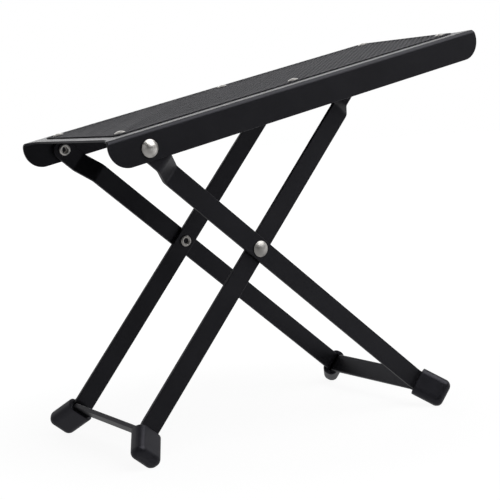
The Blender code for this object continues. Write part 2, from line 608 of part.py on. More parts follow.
def make_footrest():
    """Place the three axes and hang every piece on them."""
    clear_scene()
    tilt = radians(DECK_TILT)
    reach = [point.x * cos(tilt) - point.z * sin(tilt) for point in deck_side_outline()]
    pivot_x = -(min(reach) + max(reach)) / 2
    crossing_x = pivot_x + PIVOT_TO_CROSSING * cos(radians(PIVOT_LEG_ANGLE))
    deck_axis = axis_empty("deck_axis", pivot_x, PIVOT_HEIGHT, -DECK_TILT)
    pivot_axis = axis_empty("pivot_frame_axis", pivot_x, PIVOT_HEIGHT, PIVOT_LEG_ANGLE)
    prop_axis = axis_empty("prop_frame_axis", crossing_x, CROSSING_HEIGHT, 180 - PROP_LEG_ANGLE)
    bpy.context.view_layer.update()

    bores = rivet_bores(deck_axis)
    make_deck(deck_axis, bores)
    make_mat(deck_axis, bores)
    make_mat_rivets(deck_axis)
    make_rail(deck_axis, bores, -1, "rail_near")
    make_rail(deck_axis, bores, 1, "rail_far")

    shaft = PIVOT_SHANK_RADIUS + SHAFT_GAP
    foot_bar = PIVOT_TO_CROSSING + CROSSING_TO_FOOT_BAR
    make_frame("pivot_frame", pivot_axis, (PIVOT_TOP_FACE, PIVOT_LEG_FACE), PIVOT_JOG_START, PIVOT_JOG_RUN,
               foot_bar, [cross_cylinder("pivot_frame_top_bore", shaft, pivot_axis),
                          cross_cylinder("pivot_frame_crossing_bore", shaft, pivot_axis, PIVOT_TO_CROSSING)])
    prop_length = CROSSING_TO_ROD + CROSSING_TO_PROP_BAR
    rod_axis = axis_empty("rod_axis", crossing_x + CROSSING_TO_ROD * cos(radians(PROP_LEG_ANGLE)),
                          CROSSING_HEIGHT + CROSSING_TO_ROD * sin(radians(PROP_LEG_ANGLE)), 180 - PROP_LEG_ANGLE)
    bpy.context.view_layer.update()
    make_frame("prop_frame", rod_axis, (PROP_TOP_FACE, PROP_LEG_FACE), PROP_JOG_START, PROP_JOG_RUN,
               prop_length, [cross_cylinder("prop_frame_rod_bore", ROD_END_RADIUS + SHAFT_GAP, rod_axis),
                                cross_cylinder("prop_frame_crossing_bore", shaft, rod_axis, CROSSING_TO_ROD)])
    make_rod(prop_axis)

    top_face = DECK_WIDTH / 2 + SEAT_GAP
    top_grip = top_face - PIVOT_TOP_FACE + BAR_THICKNESS + SEAT_GAP
    crossing_face = PIVOT_LEG_FACE + SEAT_GAP
    crossing_grip = crossing_face - PROP_LEG_FACE + BAR_THICKNESS + SEAT_GAP
    for side, label in ((-1, "near"), (1, "far")):
        make_pivot_rivet(f"top_rivet_{label}", pivot_axis, 0.0, side, top_face, top_grip,
                         (TOP_HEAD_RADIUS, TOP_HEAD_HEIGHT), TOP_TAIL_HEIGHT)
        make_pivot_rivet(f"crossing_rivet_{label}", pivot_axis, PIVOT_TO_CROSSING, side, crossing_face,
                         crossing_grip, (CROSSING_HEAD_RADIUS, CROSSING_HEAD_HEIGHT), CROSSING_TAIL_HEIGHT)
        make_foot(f"pivot_foot_{label}", pivot_axis, side, foot_bar, pivot_axis.matrix_world)
        make_foot(f"prop_foot_{label}", prop_axis, side, CROSSING_TO_PROP_BAR, prop_axis.matrix_world)


make_footrest()
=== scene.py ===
"""Folding guitar footrest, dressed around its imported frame.

A foot plate with a ribbed rubber mat stands on two nested U frames of flat bar with rubber boots.
Lengths are in metres, +Z is up, +X runs to the plate's high end and -Y is the near side.
"""
import json
from math import asin, atan2, ceil, cos, degrees, hypot, pi, radians, sin, sqrt, tan

import bmesh
import bpy
from bpy.props import FloatProperty, FloatVectorProperty, IntProperty, PointerProperty
from bpy.types import Operator, Panel, PropertyGroup
from mathutils import Euler, Matrix, Vector


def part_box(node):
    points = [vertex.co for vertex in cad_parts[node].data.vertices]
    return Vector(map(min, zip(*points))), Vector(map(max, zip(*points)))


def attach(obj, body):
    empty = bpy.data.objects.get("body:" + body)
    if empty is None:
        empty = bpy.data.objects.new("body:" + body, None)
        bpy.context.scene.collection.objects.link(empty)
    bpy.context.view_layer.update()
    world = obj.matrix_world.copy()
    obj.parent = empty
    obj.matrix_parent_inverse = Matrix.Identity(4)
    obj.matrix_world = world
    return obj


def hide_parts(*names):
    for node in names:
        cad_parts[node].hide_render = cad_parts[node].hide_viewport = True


bl_info = {
    "name": "Folding Guitar Footrest",
    "version": (1, 0, 0),
    "blender": (4, 5, 0),
    "location": "View3D > Sidebar > Footrest",
    "description": "Builds a folding guitar footrest with its mat, frames, boots and rivets",
    "category": "Add Mesh",
}

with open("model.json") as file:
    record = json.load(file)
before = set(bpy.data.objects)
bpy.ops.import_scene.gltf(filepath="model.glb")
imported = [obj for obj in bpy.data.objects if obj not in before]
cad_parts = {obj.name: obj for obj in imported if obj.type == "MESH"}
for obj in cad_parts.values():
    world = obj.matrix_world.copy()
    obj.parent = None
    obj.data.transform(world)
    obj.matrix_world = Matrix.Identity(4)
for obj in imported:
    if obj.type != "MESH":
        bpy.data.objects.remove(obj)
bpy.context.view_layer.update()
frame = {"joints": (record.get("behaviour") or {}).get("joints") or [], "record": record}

# Axes of the footrest and width of its plate, from the frame
JOINTS = {joint["name"]: joint for joint in frame["joints"]}
MOUNTS = {mount["name"]: mount for mount in frame["record"]["mounts"]}
PIVOT = Vector(JOINTS["platform_follow"]["pos_m"])
CROSSING = Vector(JOINTS["fold"]["pos_m"])
TREAD_UP = Vector(MOUNTS["tread"]["axis"])
PIVOT_TO_CROSSING = (CROSSING - PIVOT).length
WIDE_LEG_ANGLE = atan2(PIVOT.z - CROSSING.z, CROSSING.x - PIVOT.x)
NARROW_LEG_ANGLE = pi / 2 - WIDE_LEG_ANGLE
PLATE_TILT = atan2(-TREAD_UP.x, TREAD_UP.z)
CROSSING_TO_ROD = PIVOT_TO_CROSSING * sin(WIDE_LEG_ANGLE + PLATE_TILT) / sin(NARROW_LEG_ANGLE - PLATE_TILT)
PIVOT_TO_ROD = (PIVOT_TO_CROSSING * cos(WIDE_LEG_ANGLE + PLATE_TILT)
                + CROSSING_TO_ROD * cos(NARROW_LEG_ANGLE - PLATE_TILT))
PLATE_PLACE = Matrix.Translation(PIVOT) @ Matrix.Rotation(-PLATE_TILT, 4, 'Y')
WIDE_PLACE = Matrix.Translation(PIVOT) @ Matrix.Rotation(WIDE_LEG_ANGLE, 4, 'Y')
CROSSING_PLACE = Matrix.Translation(CROSSING) @ Matrix.Rotation(pi - NARROW_LEG_ANGLE, 4, 'Y')
NARROW_PLACE = CROSSING_PLACE @ Matrix.Translation((-CROSSING_TO_ROD, 0, 0))
PLATE_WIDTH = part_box("deck_plate")[1].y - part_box("deck_plate")[0].y

# Sides of the plate, and the small rivets along each
SIDES = {"near": -1, "far": 1}
ROW_RIVETS = 3

# Clearances, and limits for what counts as one place, one direction and one plane
SEAT_GAP = 0.0003
OVERRUN = 0.002
MERGE = 0.00001
DECIMALS = 6
STRAIGHT = 0.999
FLAT_ANGLE = radians(0.2)

# Facets of round shapes, and the degrees of a bar's bend to a facet
STEPS = {"tip": 6, "bend": 12, "inner_bend": 6, "fillet": 14, "bar_end": 16, "boot_side": 16, "boot_end": 10,
         "boot_rim": 5, "rolled_tail": 12, "small_dome": 14, "large_dome": 20, "mat_corner": 8, "rib": 8,
         "soft_edge": 3, "thin_edge": 2}
BEND_STEP = 5.0
FLANGE_SIDES = 96
ROUND_SIDES = 64
SMALL_SIDES = 40

# Degrees past which an edge is left sharp, or is rounded as a soft edge
SHARP_BAR = 35
SHARP_PRESSED = 40
SHARP_MAT = 50
SOFT_PRESSED = 50
SOFT_BAR = 60

# Rim of a domed head, as shares: how far in its upper point lies, and the heights of both its points
RIM_IN_SHARE = 0.3
UPPER_RIM_SHARE = 0.72
LOWER_RIM_SHARE = 0.36

# Form of the mat: a power over 1 narrows the valleys, and its edge is rounded in steps of these degrees
VALLEY_POWER = 1.2
EDGE_ANGLES = (30, 60, 90)

# Grain of the finishes: tones (noise scale, detail, darkest and lightest share), rough (noise scale, detail,
# least and most roughness) and relief (noise scale, strength, depth). The roughness of metal is in PLATING_AND_PAINTED_LIGHT
COAT_GRAIN = {"tones": (55, 3, 0.86, 1.18), "rough": (130, 3, 0.36, 0.47), "relief": (1500, 0.22, 0.00008)}
MAT_GRAIN = {"tones": (90, 6, 0.9, 1.18), "rough": (240, 3, 0.68, 0.82), "relief": (2600, 0.3, 0.0001)}
BOOT_GRAIN = {"tones": (120, 5, 0.88, 1.16), "rough": (160, 3, 0.34, 0.46), "relief": (2200, 0.18, 0.0001)}
METAL_GRAIN = {"tones": (420, 4, 0.9, 1.06), "relief": (1400, 0.08, 0.00005)}
METAL_ROUGH = (900, 4)
FLOOR_GRAIN = {"tones": (6, 3, 0.985, 1.0), "rough": (9, 3, 0.8, 0.9)}
RELIEF_DETAIL = 2
TONE_ENDS = (0.35, 0.65)

# Strength of the finishes' sheen, and its tint on those that are no metal
SHEEN = {"coat": 0.455, "mat": 0.45, "boot": 0.5, "metal": 0.5, "floor": 0.1}
COOL_SHEEN = (0.88, 0.87, 1.0)

# Plating of the metal pieces: share of its colour as painted light, least and most roughness. The rod's
# grain runs along it
# The share paints light and shade: the same nickel is made lighter on the top domes and darker on the small
# rivets
PLATING_AND_PAINTED_LIGHT = {"small": (0.88, 0.36, 0.46), "top": (1.28, 0.32, 0.42), "crossing": (1.0, 0.38, 0.5),
           "rod": (1.0, 0.3, 0.45)}
ROD_STRETCH = (1, 0.15, 1)

# Soft lamps: place, width, height and power
LAMPS = {
    "backdrop_right": ((0.8, 1.6, 0.85), 1.3, 1.0, 6.8),
    "backdrop_left": ((-0.6, 1.5, 0.5), 1.4, 1.0, 0.5),
    "overhead": ((0.45, -0.5, 1.2), 1.4, 1.4, 12.6),
    "front_right": ((0.9, -0.9, 0.6), 0.7, 0.9, 0.4),
    "front_left": ((-1.0, -0.9, 0.6), 0.7, 0.9, 0.67),
    "right": ((1.4, -0.1, 0.3), 0.9, 0.9, 1.4),
}
LAMP_AIM = Vector((0, 0, 0.1))

# Stage: half the floor's width, the camera's sensor in millimetres, and where reflections brighten
FLOOR_REACH = 6
SENSOR_WIDTH = 36
GLOW_ACROSS = (0.1, 0.3)
GLOW_DEEP = (-0.25, 0.15)
WALL_RISE = (0.0, 0.4)
WHITE = (1, 1, 1, 1)


def size(name, about, default):
    """A length that a user can change."""
    return FloatProperty(name=name, description=about, default=default, unit='LENGTH')


def number(name, about, default, **options):
    """A share, an angle or another number that a user can change."""
    return FloatProperty(name=name, description=about, default=default, **options)


def colour(name, about, default):
    """A colour that a user can change."""
    return FloatVectorProperty(name=name, description=about, default=default, subtype='COLOR')


class FOOTREST_PG_plate(PropertyGroup):
    """Sizes and colour of the foot plate, in its own axes: the pivot is at zero."""
    length: size("Length", "Plate from end to end", 0.2704)
    depth: size("Depth", "Height of the side flanges", 0.017)
    sheet: size("Sheet", "Thickness of the steel", 0.0012)
    top: size("Top", "Pivot axis to the plate's top", 0.00995)
    low_end: size("Low End", "Pivot axis to the low end", 0.024)
    end_radius: size("End Radius", "Round ends of the flanges", 0.012)
    bend_radius: size("Bend Radius", "Bend from top to flange", 0.0024)
    tip_radius: size("Tip Radius", "Rounding of the flanges' upper tips", 0.0012)
    set_back: size("Set Back", "Top's end edge behind the flanges' ends", 0.0048)
    end_fillet: size("End Fillet", "Curve from the end edge into a flange", 0.011)
    edge: size("Edge Softness", "Rounding of the cut edges by the coat", 0.0003)
    coat: colour("Coat", "Colour of the powder coat", (0.0098, 0.0098, 0.0112))


class FOOTREST_PG_mat(PropertyGroup):
    """Sizes and colour of the rubber mat."""
    thickness: size("Thickness", "Mat with its ribs", 0.0006)
    lift: size("Lift", "Mat above the plate", 0.0001)
    past_rivets: size("Past Rivets", "Mat's edge to the rivets", 0.0063)
    corner: size("Corner Radius", "Mat's corners", 0.004)
    edge: size("Edge", "Rounding along the mat's edge", 0.0005)
    border: size("Border", "Plain border round the ribs", 0.0011)
    rib_end: size("Rib End", "Slope at the end of a rib's valley", 0.0004)
    rib_pitch: size("Rib Pitch", "Rib to rib", 0.0031)
    rib_height: size("Rib Height", "Rib above its valley", 0.00046)
    # Painted shade: the rubber's colour in the valleys between the ribs is darkened to this share
    painted_valley_shade: number("Painted Valley Shade", "Share of the rubber's colour in the valleys", 0.25, min=0, max=1,
                        subtype='FACTOR')
    rib_angle: number("Rib Angle", "Ribs to the plate's length", radians(43.5), subtype='ANGLE')
    dimple: size("Dimple", "Depth of the seats of the rivets", 0.0003)
    rubber: colour("Rubber", "Colour of the mat", (0.0400, 0.0395, 0.0436))


class FOOTREST_PG_rivets(PropertyGroup):
    """Sizes and colour of all rivets."""
    mat_radius: size("Mat Rivet", "Head radius of a mat rivet", 0.0031)
    mat_height: size("Mat Rivet Height", "Head height of a mat rivet", 0.001)
    mat_rim: size("Mat Rivet Rim", "Rounded rim of a mat rivet", 0.0004)
    mat_shank: size("Mat Shank", "Shank radius of a mat rivet", 0.0015)
    mat_tail: size("Mat Tail", "Tail radius of a mat rivet", 0.0024)
    tail_height: size("Tail Height", "Standing tail of the low pair", 0.0007)
    tail_edge: size("Tail Edge", "Chamfer of a standing tail", 0.0002)
    flush_edge: size("Flush Edge", "Chamfer of a tail that ends in its rail", 0.0001)
    from_side: size("From Side", "Row to the plate's side", 0.0164)
    first: size("First", "First rivets to the low end", 0.0173)
    last: size("Last", "Last rivets to the high end", 0.0151)
    top_head: size("Top Head", "Head radius of a top rivet", 0.005)
    top_height: size("Top Height", "Head height of a top rivet", 0.0026)
    top_tail: size("Top Tail", "Tail height of a top rivet", 0.002)
    crossing_head: size("Crossing Head", "Head radius of a crossing rivet", 0.0047)
    crossing_height: size("Crossing Height", "Head height of a crossing rivet", 0.0019)
    crossing_tail: size("Crossing Tail", "Tail height of a crossing rivet", 0.0012)
    rim: size("Rim", "Rounded rim of a large head", 0.0006)
    shank: size("Pivot Shank", "Shank radius of a pivot rivet", 0.0028)
    tail: size("Pivot Tail", "Rolled tail's radius", 0.0036)
    bore: size("Pivot Bore", "Hollow in the tail", 0.0017)
    bore_depth: size("Bore Depth", "Depth of the hollow", 0.0034)
    bore_cone: size("Bore Cone", "Cone at the hollow's end", 0.0013)
    nickel: colour("Nickel", "Colour of the plating", (0.74, 0.72, 0.69))


class FOOTREST_PG_frames(PropertyGroup):
    """Sizes of both U frames of flat bar."""
    width: size("Bar Width", "Width of the flat bar", 0.0123)
    bar: size("Bar Thickness", "Thickness of the flat bar", 0.0025)
    edge: size("Edge Radius", "Rounded edges of the bar", 0.0004)
    jog_bend: size("Jog Bend", "Bends of the sideways steps", 0.004)
    wide_foot: size("Wide Foot Bar", "Crossing to the wide frame's foot bar", 0.1511)
    wide_jog: size("Wide Jog", "Sideways step of a wide leg", 0.00875)
    wide_start: size("Wide Jog Start", "Pivot to the step", 0.0115)
    wide_run: size("Wide Jog Run", "Length of the step", 0.0135)
    narrow_jog: size("Narrow Jog", "Sideways step of a narrow leg", 0.0062)
    narrow_start: size("Narrow Jog Start", "Rod to the step", 0.0142)
    narrow_run: size("Narrow Jog Run", "Length of the step", 0.0105)
    ear_gap: size("Ear Gap", "Between the arms of an ear", 0.001)
    ear_length: size("Ear Length", "Corner to the ear's tip", 0.0152)
    ear_bend: size("Ear Bend", "Bends into the ear", 0.006)
    ear_turn: number("Ear Turn", "Ear to its leg", radians(45), subtype='ANGLE')


class FOOTREST_PG_boots(PropertyGroup):
    """Sizes and colour of the rubber boots."""
    wall: size("Wall", "Wall above and below the bar", 0.0026)
    side_wall: size("Side Wall", "Wall beside the ear", 0.0017)
    end_wall: size("End Wall", "Wall past the ear", 0.0045)
    set_back: size("Set Back", "Mouth behind the corner", 0.0001)
    side_edge: size("Side Edge", "Rounding of the long edges", 0.0044)
    end_edge: size("End Edge", "Rounding round the closed end", 0.0042)
    rim: size("Rim", "Rounded rim of the mouth", 0.0007)
    rubber: colour("Rubber", "Colour of the boots", (0.013, 0.013, 0.0165))


class FOOTREST_PG_rails(PropertyGroup):
    """Sizes of the cross rod and of the notched rails."""
    rod: size("Rod", "Rod's radius", 0.0035)
    groove: size("Groove", "Radius under a rail", 0.0020)
    rod_end: size("Rod End", "Radius in a leg", 0.0025)
    rod_head: size("Rod Head", "Height of a peened end", 0.0011)
    rod_rim: size("Rod Rim", "Rounded rim of a peened end", 0.0004)
    chamfer: size("Chamfer", "Chamfers of the rod", 0.0003)
    sheet: size("Sheet", "Thickness of a rail", 0.0012)
    bend: size("Bend", "Bend at a rail's corner", 0.0010)
    edge: size("Edge Softness", "Rounding of a rail's edges by the coat", 0.00015)
    clearance: size("Clearance", "Web to the leg beside it", 0.0012)
    margin: size("Margin", "Strip past the rivet row", 0.0050)
    end_margin: size("End Margin", "Strip past its end rivets", 0.0080)
    web_margin: size("Web Margin", "Web past its last notch", 0.0060)
    stop_depth: size("Stop Depth", "Low stop below the teeth", 0.0040)
    stop_length: size("Stop Length", "Length of the low stop", 0.0030)
    notches: IntProperty(name="Notches", description="Places for the rod", default=5, min=1)
    notch_pitch: size("Notch Pitch", "Notch to notch", 0.0100)
    zinc: colour("Zinc", "Colour of the rod's plating", (0.50, 0.50, 0.49))


class FOOTREST_PG_stage(PropertyGroup):
    """Camera, lamps and floor."""
    eye: FloatVectorProperty(name="Eye", description="Camera's place in the plate's axes",
                             default=(-0.310814, -0.637791, 0.081762), subtype='TRANSLATION')
    aim: FloatVectorProperty(name="Aim", description="Camera's turn in the plate's axes",
                             default=(1.34329, 0.22786, -0.60246), subtype='EULER')
    lens: number("Lens", "Focal length in millimetres", 89.32)
    floor: colour("Floor", "Colour of the floor", (0.80, 0.80, 0.80))
    white: number("White", "Floor's brightness in the picture", 1.08)
    shadow: number("Shadow", "Strength of the floor's shadow", 0.14, min=0, max=1, subtype='FACTOR')
    shadow_near: size("Shadow Near", "Where the shadow starts to fade", 0.12)
    shadow_far: size("Shadow Far", "Where the shadow ends", 0.4)
    glow_left: number("Left Glow", "Floor at the left, in reflections", 0.49)
    glow_right: number("Right Glow", "Floor at the right, in reflections", 1.0)
    glow_front: number("Front Glow", "Share of it left in front", 0.5)
    ambient: number("Ambient", "Light from all sides", 0.004)
    wall: number("Wall", "White wall behind, in reflections", 0.4)
    lamp: number("Lamps", "Strength of all lamps", 1.0, min=0)


def settings(name):
    """One group of settings of this footrest."""
    return getattr(bpy.context.scene, "footrest_" + name)


def add_node(tree, kind, sockets=None, **options):
    """A node with its options. A socket gets a value or another node's output."""
    made = tree.nodes.new(kind)
    for option, value in options.items():
        setattr(made, option, value)
    for socket, value in (sockets or {}).items():
        if isinstance(value, bpy.types.NodeSocket):
            tree.links.new(value, made.inputs[socket])
        else:
            made.inputs[socket].default_value = value
    return made


def grade(tree, factor, reach, values):
    """A value that goes from one to the other while the factor goes over its reach."""
    sockets = {"Value": factor, "From Min": reach[0], "From Max": reach[1], "To Min": values[0],
               "To Max": values[1]}
    return add_node(tree, "ShaderNodeMapRange", sockets).outputs["Result"]


def multiply(tree, first, second):
    """The product of two outputs."""
    return add_node(tree, "ShaderNodeMath", {0: first, 1: second}, operation='MULTIPLY').outputs["Value"]


def blend(tree, share, first, second):
    """A shader that goes from the first to the second."""
    return add_node(tree, "ShaderNodeMixShader", {"Fac": share, 1: first, 2: second}).outputs["Shader"]


def cloud(tree, place, scale, detail, stretch=None):
    """Noise over the piece, drawn out along an axis if asked."""
    if stretch:
        place = add_node(tree, "ShaderNodeMapping", {"Vector": place, "Scale": stretch}).outputs["Vector"]
    noise = add_node(tree, "ShaderNodeTexNoise", {"Vector": place, "Scale": scale, "Detail": detail})
    return noise.outputs["Fac"]


def shade(tint, share):
    """A colour made lighter or darker."""
    return tuple(channel * share for channel in tint)


def new_finish(name, metallic, specular):
    """An empty Principled material: its tree, shader and Object coordinates."""
    made = bpy.data.materials.new(name)
    made.use_nodes = True
    tree = made.node_tree
    shader = tree.nodes["Principled BSDF"]
    shader.inputs["Metallic"].default_value = metallic
    shader.inputs["Specular IOR Level"].default_value = specular
    if not metallic:
        shader.inputs["Specular Tint"].default_value = (*COOL_SHEEN, 1)
    place = add_node(tree, "ShaderNodeTexCoord").outputs["Object"]
    return made, tree, shader, place


def add_grain(tree, shader, place, tint, tones, rough, relief=None, stretch=None):
    """Patches of tone and roughness over a fine relief. Hands on the colour."""
    scale, detail, *shares = tones
    ramp = add_node(tree, "ShaderNodeValToRGB", {"Fac": cloud(tree, place, scale, detail)})
    for element, end, share in zip(ramp.color_ramp.elements, TONE_ENDS, shares):
        element.position = end
        element.color = (*shade(tint, share), 1)
    tree.links.new(ramp.outputs["Color"], shader.inputs["Base Color"])
    scale, detail, *reach = rough
    roughness = grade(tree, cloud(tree, place, scale, detail, stretch), (0, 1), reach)
    tree.links.new(roughness, shader.inputs["Roughness"])
    if relief:
        scale, strength, depth = relief
        height = cloud(tree, place, scale, RELIEF_DETAIL, stretch)
        bump = add_node(tree, "ShaderNodeBump", {"Height": height, "Strength": strength, "Distance": depth})
        tree.links.new(bump.outputs["Normal"], shader.inputs["Normal"])
    return ramp.outputs["Color"]


def powder_coat(name):
    """Satin black powder coat with a fine orange peel."""
    made, tree, shader, place = new_finish(name, 0.0, SHEEN["coat"])
    add_grain(tree, shader, place, settings("plate").coat, **COAT_GRAIN)
    return made


def mat_rubber(name, across, start):
    """Charcoal rubber, dull, with a faint mottle, and painted shade that darkens the valleys between the
    ribs.
    """
    mat = settings("mat")
    made, tree, shader, place = new_finish(name, 0.0, SHEEN["mat"])
    mottled = add_grain(tree, shader, place, mat.rubber, **MAT_GRAIN)
    # Painted shade: the colour falls to the valley share in each valley between the ribs, in step with them
    turns = 2 * pi / mat.rib_pitch
    way = add_node(tree, "ShaderNodeVectorMath", {0: place, 1: across * turns}, operation='DOT_PRODUCT')
    phase = add_node(tree, "ShaderNodeMath", {0: way.outputs["Value"], 1: start * turns},
                     operation='SUBTRACT')
    wave = add_node(tree, "ShaderNodeMath", {0: phase.outputs["Value"]}, operation='COSINE')
    valley_shade = grade(tree, wave.outputs["Value"], (-1, 1), (1, mat.painted_valley_shade))
    ribbed = add_node(tree, "ShaderNodeVectorMath", {0: mottled, "Scale": valley_shade}, operation='SCALE')
    tree.links.new(ribbed.outputs["Vector"], shader.inputs["Base Color"])
    return made


def boot_rubber(name):
    """Moulded rubber with a soft sheen."""
    made, tree, shader, place = new_finish(name, 0.0, SHEEN["boot"])
    add_grain(tree, shader, place, settings("boots").rubber, **BOOT_GRAIN)
    return made


def plated(name, tint, plating, stretch=None):
    """Bright plating, a little uneven, its colour painted lighter or darker by the piece's share."""
    share, low, high = PLATING_AND_PAINTED_LIGHT[plating]
    made, tree, shader, place = new_finish(name, 1.0, SHEEN["metal"])
    add_grain(tree, shader, place, shade(tint, share), rough=(*METAL_ROUGH, low, high), stretch=stretch,
              **METAL_GRAIN)
    return made


def mesh_of(name, bm):
    """The mesh of a finished shape."""
    mesh = bpy.data.meshes.new(name)
    bm.to_mesh(mesh)
    bm.free()
    return mesh


def add_object(name, data):
    """A new object in the scene."""
    made = bpy.data.objects.new(name, data)
    bpy.context.scene.collection.objects.link(made)
    return made


def move(bm, way, verts=None):
    """Move a shape, or some of its points."""
    bmesh.ops.translate(bm, vec=way, verts=verts or bm.verts)


def finish_piece(name, bm, place, body, material, node, limit=SHARP_PRESSED):
    """Put a shape in its place as a finished piece that stands for its CAD node."""
    bmesh.ops.transform(bm, matrix=place, verts=bm.verts)
    bmesh.ops.recalc_face_normals(bm, faces=bm.faces)
    mesh = mesh_of(name, bm)
    mesh.shade_smooth()
    mesh.set_sharp_from_angle(angle=radians(limit))
    mesh.materials.append(material)
    piece = add_object(name, mesh)
    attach(piece, body)
    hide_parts(node)
    return piece


def even_shading(piece):
    """Shade flat faces flat, beside their rounded edges."""
    even = piece.modifiers.new("even_shading", 'WEIGHTED_NORMAL')
    even.keep_sharp = True


def soften(piece, width, segments, angle):
    """Rounded edges where the shape turns by more than the angle."""
    edge = piece.modifiers.new("soft_edges", 'BEVEL')
    edge.width = width
    edge.segments = segments
    edge.limit_method = 'ANGLE'
    edge.angle_limit = radians(angle)
    edge.use_clamp_overlap = False
    even_shading(piece)


def verts_of(items):
    """The points among some items of a shape."""
    return [item for item in items if isinstance(item, bmesh.types.BMVert)]


def edges_of(items):
    """The edges among some items of a shape."""
    return [item for item in items if isinstance(item, bmesh.types.BMEdge)]


def combine(bm, tool, operation='DIFFERENCE'):
    """Cut a tool's shape out of a shape, or keep what both hold."""
    parts = [add_object("shape", mesh_of("shape", shape)) for shape in (bm, tool)]
    modifier = parts[0].modifiers.new("combine", 'BOOLEAN')
    modifier.operation = operation
    modifier.solver = 'EXACT'
    modifier.object = parts[1]
    result = bmesh.new()
    result.from_object(parts[0], bpy.context.evaluated_depsgraph_get())
    for made in parts:
        mesh = made.data
        bpy.data.objects.remove(made)
        bpy.data.meshes.remove(mesh)
    return result


def join(target, extra):
    """Add another shape's faces to a shape."""
    mesh = mesh_of("extra", extra)
    target.from_mesh(mesh)
    bpy.data.meshes.remove(mesh)


def block(low, high):
    """A block between two corners."""
    bm = bmesh.new()
    bmesh.ops.create_cube(bm, size=1)
    spread = Matrix.Diagonal((*(Vector(high) - Vector(low)), 1))
    middle = (Vector(high) + Vector(low)) / 2
    bmesh.ops.transform(bm, matrix=Matrix.Translation(middle) @ spread, verts=bm.verts)
    return bm


def cut(bm, place, out, clear=False):
    """Cut all faces at a plane, and clear what lies past it if asked. Hands on the cut's edges."""
    made = bmesh.ops.bisect_plane(bm, geom=bm.verts[:] + bm.edges[:] + bm.faces[:], plane_co=place,
                                  plane_no=out, clear_outer=clear)
    return edges_of(made["geom_cut"])


def round_edges(bm, edges, radius, segments):
    """Round some edges of a shape."""
    bmesh.ops.bevel(bm, geom=edges, offset=radius, offset_type='OFFSET', segments=segments,
                    profile=0.5, affect='EDGES', material=-1)


def along(bm, axis, keep=lambda edge: True):
    """The straight edges that run along an axis."""
    return [edge for edge in bm.edges
            if abs((edge.verts[1].co - edge.verts[0].co).normalized()[axis]) > STRAIGHT and keep(edge)]


def turned(profile, sides):
    """Turn (radius, height) points about the vertical. The first and last lie on it."""
    bm = bmesh.new()
    points = [bm.verts.new((radius, 0, height)) for radius, height in profile]
    for first, second in zip(points, points[1:]):
        bm.edges.new((first, second))
    bmesh.ops.spin(bm, geom=bm.verts[:] + bm.edges[:], axis=(0, 0, 1), cent=(0, 0, 0),
                   steps=sides, angle=2 * pi, use_merge=True)
    bmesh.ops.remove_doubles(bm, verts=bm.verts, dist=MERGE)
    bmesh.ops.recalc_face_normals(bm, faces=bm.faces)
    return bm


def turn_across(bm, side):
    """Lay a turned shape along Y with its top towards a side."""
    bmesh.ops.rotate(bm, matrix=Matrix.Rotation(radians(-90 * side), 3, 'X'), verts=bm.verts)


def rolled_end(radius, middle, height):
    """Profile of a rolled tail: half a circle from its outside to its inside."""
    steps = STEPS["rolled_tail"]
    angles = [pi * i / steps for i in range(steps + 1)]
    return [(middle + radius * cos(angle), height - radius * sin(angle)) for angle in angles]


def dome(radius, height, rim, steps):
    """Profile of a domed head from its top to the foot of its rounded rim."""
    curve = (radius ** 2 + height ** 2) / (2 * height)
    reach = asin((radius - rim) / curve)
    angles = [reach * i / steps for i in range(steps + 1)]
    points = [(curve * sin(angle), height - curve + curve * cos(angle)) for angle in angles]
    shoulder = points[-1][1]
    return points + [(radius - rim * RIM_IN_SHARE, shoulder * UPPER_RIM_SHARE),
                     (radius, shoulder * LOWER_RIM_SHARE), (radius, 0)]


def start_strip(x, y, thickness):
    """The first edge of a bent strip, across its thickness."""
    bm = bmesh.new()
    ends = [bm.verts.new((x, y + side * thickness / 2, 0)) for side in (-1, 1)]
    return bm, bm.edges.new(ends)


def strip_run(bm, edge, heading, length):
    """Lengthen a strip straight on."""
    grown = bmesh.ops.extrude_edge_only(bm, edges=[edge])["geom"]
    verts = verts_of(grown)
    move(bm, Vector((cos(heading), sin(heading), 0)) * length, verts)
    return next(item for item in edges_of(grown) if set(item.verts) == set(verts))


def strip_bend(bm, edge, heading, radius, turn):
    """Bend a strip on its centre line. A positive turn goes to the left."""
    middle = (edge.verts[0].co + edge.verts[1].co) / 2
    left = Vector((-sin(heading), cos(heading), 0))
    centre = middle + left * (radius if turn > 0 else -radius)
    spun = bmesh.ops.spin(bm, geom=[edge, *edge.verts], cent=centre, axis=(0, 0, 1), angle=turn,
                          steps=ceil(abs(degrees(turn)) / BEND_STEP))["geom_last"]
    return edges_of(spun)[0], heading + turn


def thicken(bm, depth):
    """Give a flat shape its depth, half to each side."""
    move(bm, (0, 0, -depth / 2))
    grown = bmesh.ops.extrude_face_region(bm, geom=bm.faces[:])["geom"]
    move(bm, (0, 0, depth), verts_of(grown))
    bmesh.ops.recalc_face_normals(bm, faces=bm.faces)


